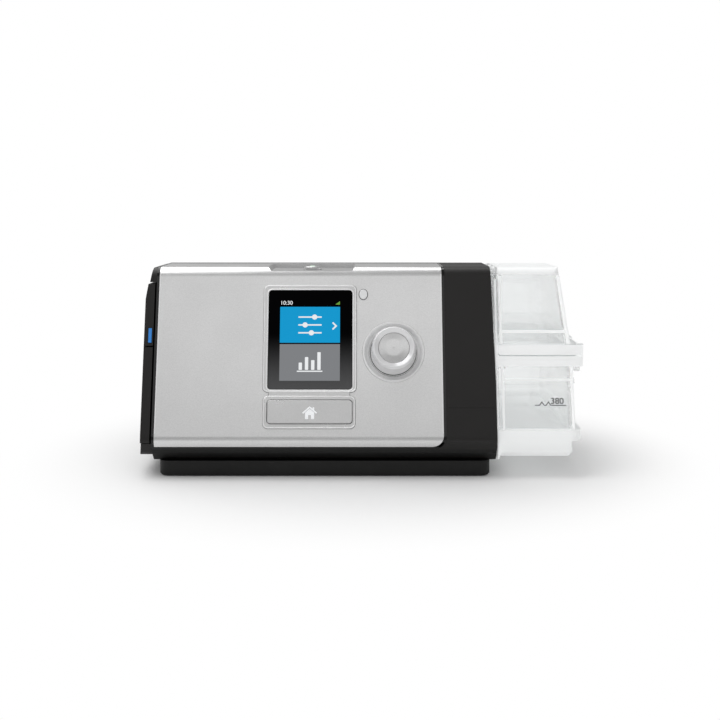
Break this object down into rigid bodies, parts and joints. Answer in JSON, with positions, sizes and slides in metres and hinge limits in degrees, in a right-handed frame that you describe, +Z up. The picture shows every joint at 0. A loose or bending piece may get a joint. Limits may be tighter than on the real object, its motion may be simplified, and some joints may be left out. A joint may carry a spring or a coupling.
{
  "type": "cpap machine",
  "caption": "Bedside positive-airway-pressure machine: leaning silver fascia with screen, home button and push dial, hinged side doors, and a clear water tub docked at the right.",
  "frame": {"origin": "centre of the bounding box's bottom face, on the surface that the rubber feet stand on", "axes": "+X to the right of someone facing the screen, towards the water tub; -Y out of the front; +Z up"},
  "size_m": [0.255, 0.1504, 0.116],
  "materials": {
    "silver_paint": "silver metallic paint on moulded plastic",
    "dark_gloss": "black gloss",
    "dark_satin": "warm dark grey, fine satin",
    "dark_matte": "near-black, matt",
    "blue_plastic": "blue, semi-gloss",
    "clear_plastic": "clear polycarbonate",
    "screen_glass": "black printed window, gloss",
    "lens_clear": "translucent, gloss",
    "polished_metal": "turned and polished",
    "led_green": "diffusing light pipe, pale green",
    "rubber_dark": "matt",
    "silicone": "translucent silicone",
    "steel": "machined",
    "spring_steel": "drawn wire",
    "aluminium_plate": "anodised, satin",
    "board_green": "solder mask",
    "white_plastic": "natural moulding",
    "foam_grey": "open-cell foam",
    "filter_white": "fibre mat",
    "card_blue": "plain, no print"
  },
  "bodies": {
    "casing": {"base_plinth": "dark_matte", "rubber_feet": "rubber_dark", "case_screws": "steel", "lower_case": "dark_matte", "rear_case": "dark_satin", "fascia": "silver_paint", "front_trim": "dark_gloss", "dock_cover": "dark_satin", "dock_lower_trim": "dark_satin", "left_cover": "dark_satin", "control_bezel": "silver_paint", "screen_lens": "screen_glass", "lcd_module": "dark_matte", "dial_bezel": "silver_paint", "encoder_body": "steel", "light_sensor_lens": "lens_clear", "control_board": "board_green", "tact_switches": "dark_matte", "main_board": "board_green", "card_slot": "steel", "power_inlet": "dark_gloss", "power_board": "board_green", "clip_pin": "steel", "muffler_box": "white_plastic", "air_filter": "filter_white", "muffler_foam": "foam_grey", "blower_lower": "dark_matte", "blower_upper": "dark_matte", "motor_can": "steel", "motor_bearings": "steel", "blower_mounts": "silicone", "flow_duct": "silicone", "outlet_duct": "white_plastic", "air_outlet": "dark_satin", "port_seals": "silicone", "dock_liner": "dark_matte", "heater_springs": "spring_steel"},
    "home_key": {"home_button": "silver_paint"},
    "start_key": {"start_button": "silver_paint", "status_led": "led_green"},
    "dial_slider": {"encoder_plunger": "steel"},
    "dial": {"dial_ring": "polished_metal", "dial_cap": "silver_paint", "encoder_shaft": "steel"},
    "upper_side_door": {"card_door": "dark_satin", "card_door_tab": "blue_plastic"},
    "lower_side_door": {"adapter_cover": "dark_satin"},
    "memory_card": {"sd_card": "card_blue"},
    "filter_door": {"filter_cover": "dark_satin"},
    "plug_clip": {"retention_clip": "dark_matte"},
    "blower_wheel": {"impeller": "white_plastic", "motor_shaft": "steel"},
    "heater": {"heater_plate": "aluminium_plate"},
    "tub": {"tub_base": "clear_plastic", "tub_seal": "silicone", "tub_plate": "aluminium_plate", "lid_hinge_pins": "clear_plastic"},
    "lid": {"tub_lid": "clear_plastic"},
    "latch": {"tub_latch": "clear_plastic"}
  },
  "joints": [
    {"name": "tub_slide", "type": "slide", "parent": "casing", "child": "tub", "axis": [1, 0, 0], "range_m": [0, 0.075]},
    {"name": "lid_hinge", "type": "hinge", "parent": "tub", "child": "lid", "pos_m": [0.0802, 0, 0.1132], "axis": [0, -1, 0], "range_deg": [0, 90]},
    {"name": "latch_flex", "type": "hinge", "parent": "lid", "child": "latch", "pos_m": [0.126, -0.031, 0.0708], "axis": [0, -1, 0], "range_deg": [0, 20], "stiffness_Nm_per_rad": 0.04, "springref_deg": -2.86},
    {"name": "home_push", "type": "slide", "parent": "casing", "child": "home_key", "axis": [0, 0.9397, -0.342], "range_m": [0, 0.0008], "stiffness_N_per_m": 1500, "springref_m": -0.0002},
    {"name": "start_push", "type": "slide", "parent": "casing", "child": "start_key", "axis": [0, 0, -1], "range_m": [0, 0.001], "stiffness_N_per_m": 1500, "springref_m": -0.0002},
    {"name": "dial_push", "type": "slide", "parent": "casing", "child": "dial_slider", "axis": [0, 0.9397, -0.342], "range_m": [0, 0.0015], "stiffness_N_per_m": 1500, "springref_m": -0.0004},
    {"name": "dial_spin", "type": "hinge", "parent": "dial_slider", "child": "dial", "pos_m": [0.0189, -0.05798, 0.06915], "axis": [0, -0.9397, 0.342], "continuous": true},
    {"name": "card_door_hinge", "type": "hinge", "parent": "casing", "child": "upper_side_door", "pos_m": [-0.12079, 0.004, 0.0908], "axis": [-0.1288, 0, -0.9917], "range_deg": [0, 90]},
    {"name": "adapter_cover_hinge", "type": "hinge", "parent": "casing", "child": "lower_side_door", "pos_m": [-0.12422, 0.004, 0.04445], "axis": [-0.0338, 0, -0.9994], "range_deg": [0, 90]},
    {"name": "card_push", "type": "slide", "parent": "casing", "child": "memory_card", "axis": [1, 0, 0], "range_m": [0, 0.001], "stiffness_N_per_m": 400, "springref_m": -0.0002},
    {"name": "filter_door_hinge", "type": "hinge", "parent": "casing", "child": "filter_door", "pos_m": [-0.1085, 0.0645, 0.0825], "axis": [0, 0, 1], "range_deg": [0, 90]},
    {"name": "plug_clip_hinge", "type": "hinge", "parent": "casing", "child": "plug_clip", "pos_m": [-0.088, 0.0634, 0.0418], "axis": [1, 0, 0], "range_deg": [0, 100]},
    {"name": "blower_spin", "type": "hinge", "parent": "casing", "child": "blower_wheel", "pos_m": [-0.045, 0.01219, 0.05], "axis": [0, 0, 1], "continuous": true},
    {"name": "heater_float", "type": "slide", "parent": "casing", "child": "heater", "axis": [0, 0, -1], "range_m": [0, 0.0015], "stiffness_N_per_m": 2000, "springref_m": -0.0006, "deforming": ["heater_springs"]}
  ]
}
